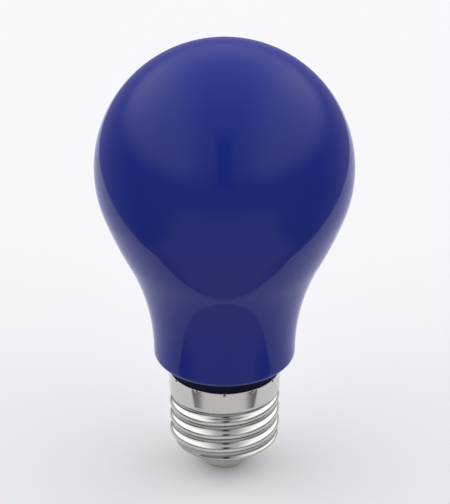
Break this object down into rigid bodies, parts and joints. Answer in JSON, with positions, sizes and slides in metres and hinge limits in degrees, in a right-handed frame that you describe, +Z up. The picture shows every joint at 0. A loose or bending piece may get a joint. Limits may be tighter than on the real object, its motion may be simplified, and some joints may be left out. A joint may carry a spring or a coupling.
{
  "type": "led bulb",
  "caption": "Deep blue glossy pear-shaped LED bulb on a polished nickel-plated medium screw cap, with a pale insulator and a centre contact.",
  "frame": {"origin": "middle of the centre contact's flat underside", "axes": "+Z up the lamp's axis, from the contact to the crown of the head; -Y is the side with the first staking dent"},
  "size_m": [0.06, 0.06, 0.108],
  "materials": {
    "blue_envelope": "gloss",
    "nickel_shell": "polished",
    "pale_insulator": "satin",
    "nickel_contact": "satin"
  },
  "bodies": {
    "root": {"envelope": "blue_envelope", "screw_shell": "nickel_shell", "insulator": "pale_insulator", "centre_contact": "nickel_contact"}
  },
  "joints": []
}
